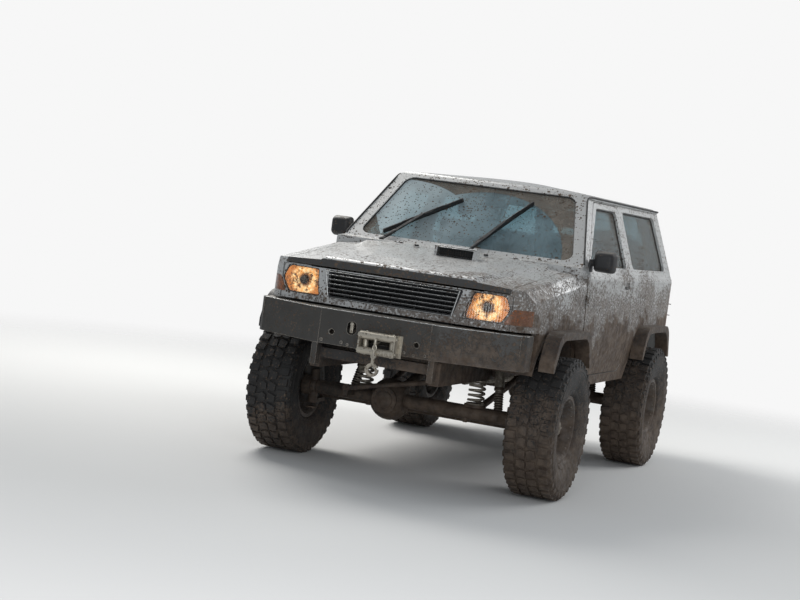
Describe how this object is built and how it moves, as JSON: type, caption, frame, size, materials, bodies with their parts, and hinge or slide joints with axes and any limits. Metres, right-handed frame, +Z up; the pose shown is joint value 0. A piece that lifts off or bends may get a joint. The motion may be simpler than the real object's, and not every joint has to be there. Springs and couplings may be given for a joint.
{
  "type": "lifted off-road vehicle",
  "caption": "Short three-door off-road vehicle raised on large tyres, with a steel winch bumper, opening doors, hood and rear doors, and linked steering.",
  "frame": {"origin": "on the ground below the middle of the overall length and width", "axes": "+Z up, +Y towards the rear, +X towards the vehicle's left"},
  "size_m": [2.045, 4.54, 1.9726],
  "materials": {
    "paint": "silver-grey paint under dried mud",
    "dark_steel": "worn dark paint on folded steel",
    "galvanised": "galvanised steel",
    "cast": "painted castings under mud",
    "rubber": "soft black rubber",
    "tyre": "tyre rubber",
    "glass": "tinted glass",
    "plastic": "black grained plastic",
    "gloss": "dark plastic",
    "alloy": "muddy wheel finish",
    "fabric": "grey seat cloth",
    "lamp_amber": "lit lamp lens",
    "lamp_red": "red lamp lens",
    "underbody": "black chassis paint"
  },
  "bodies": {
    "body": {"chassis_frame": "underbody", "floor_pan": "paint", "body_sides": "paint", "roof_panel": "paint", "fixed_glass": "glass", "fenders": "paint", "front_panel": "paint", "grille": "gloss", "headlamps": "lamp_amber", "corner_lamps": "lamp_amber", "wheel_housings": "plastic", "flares": "plastic", "front_bumper": "dark_steel", "winch": "dark_steel", "fairlead": "galvanised", "winch_rope": "galvanised", "winch_hook": "galvanised", "rear_bumper": "dark_steel", "tail_lamps": "lamp_red", "engine_block": "cast", "front_axle": "cast", "rear_axle": "cast", "coil_springs": "galvanised", "dampers": "galvanised", "suspension_links": "underbody", "prop_shafts": "cast", "exhaust": "galvanised", "fuel_tank": "underbody", "front_seats": "fabric", "rear_bench": "fabric", "dashboard": "plastic", "wipers": "plastic"},
    "knuckle_left": {"knuckle_left": "cast"},
    "knuckle_right": {"knuckle_right": "cast"},
    "tie_rod": {"tie_rod": "cast"},
    "steering_wheel": {"steering_wheel": "rubber"},
    "door_left": {"door_left": "paint", "door_glass_left": "glass", "mirror_left": "plastic"},
    "door_right": {"door_right": "paint", "door_glass_right": "glass", "mirror_right": "plastic"},
    "rear_door_large": {"rear_door_large": "paint", "rear_glass_large": "glass", "spare_tyre": "tyre", "spare_rim": "alloy"},
    "rear_door_small": {"rear_door_small": "paint", "rear_glass_small": "glass"},
    "hood": {"hood": "paint"},
    "wheel_front_left": {"tyre_front_left": "tyre", "rim_front_left": "alloy"},
    "wheel_front_right": {"tyre_front_right": "tyre", "rim_front_right": "alloy"},
    "wheel_rear_left": {"tyre_rear_left": "tyre", "rim_rear_left": "alloy"},
    "wheel_rear_right": {"tyre_rear_right": "tyre", "rim_rear_right": "alloy"}
  },
  "joints": [
    {"name": "steer_left", "type": "hinge", "parent": "body", "child": "knuckle_left", "pos_m": [0.73, -1.238, 0.4445], "axis": [0, 0, 1], "range_deg": [-30, 30]},
    {"name": "steer_right", "type": "hinge", "parent": "body", "child": "knuckle_right", "pos_m": [-0.73, -1.238, 0.4445], "axis": [0, 0, 1], "range_deg": [-30, 30]},
    {"name": "tie_rod_swing", "type": "hinge", "parent": "knuckle_left", "child": "tie_rod", "pos_m": [0.73, -1.078, 0.3785], "axis": [0, 0, 1], "range_deg": [-30, 30]},
    {"name": "steering_wheel_turn", "type": "hinge", "parent": "body", "child": "steering_wheel", "pos_m": [-0.37, -0.333, 1.3625], "axis": [0, 0.9135, 0.4067], "range_deg": [-540, 540]},
    {"name": "spin_front_left", "type": "hinge", "parent": "knuckle_left", "child": "wheel_front_left", "pos_m": [0.865, -1.238, 0.4445], "axis": [1, 0, 0], "continuous": true},
    {"name": "spin_front_right", "type": "hinge", "parent": "knuckle_right", "child": "wheel_front_right", "pos_m": [-0.865, -1.238, 0.4445], "axis": [1, 0, 0], "continuous": true},
    {"name": "spin_rear_left", "type": "hinge", "parent": "body", "child": "wheel_rear_left", "pos_m": [0.865, 1.162, 0.4445], "axis": [1, 0, 0], "continuous": true},
    {"name": "spin_rear_right", "type": "hinge", "parent": "body", "child": "wheel_rear_right", "pos_m": [-0.865, 1.162, 0.4445], "axis": [1, 0, 0], "continuous": true},
    {"name": "door_left_open", "type": "hinge", "parent": "body", "child": "door_left", "pos_m": [0.89, -0.768, 1.2], "axis": [0, 0, -1], "range_deg": [0, 68]},
    {"name": "door_right_open", "type": "hinge", "parent": "body", "child": "door_right", "pos_m": [-0.89, -0.768, 1.2], "axis": [0, 0, 1], "range_deg": [0, 68]},
    {"name": "rear_door_large_open", "type": "hinge", "parent": "body", "child": "rear_door_large", "pos_m": [0.742, 1.909, 1.2], "axis": [0, 0, -1], "range_deg": [0, 95]},
    {"name": "rear_door_small_open", "type": "hinge", "parent": "body", "child": "rear_door_small", "pos_m": [-0.742, 1.909, 1.2], "axis": [0, 0, 1], "range_deg": [0, 95]},
    {"name": "hood_open", "type": "hinge", "parent": "body", "child": "hood", "pos_m": [0, -0.911, 1.4405], "axis": [-1, 0, 0], "range_deg": [0, 50]}
  ],
  "couplings": [
    {"joint": "steer_right", "follows": "steer_left", "ratio": 1},
    {"joint": "tie_rod_swing", "follows": "steer_left", "ratio": -1},
    {"joint": "steering_wheel_turn", "follows": "steer_left", "ratio": 18}
  ]
}
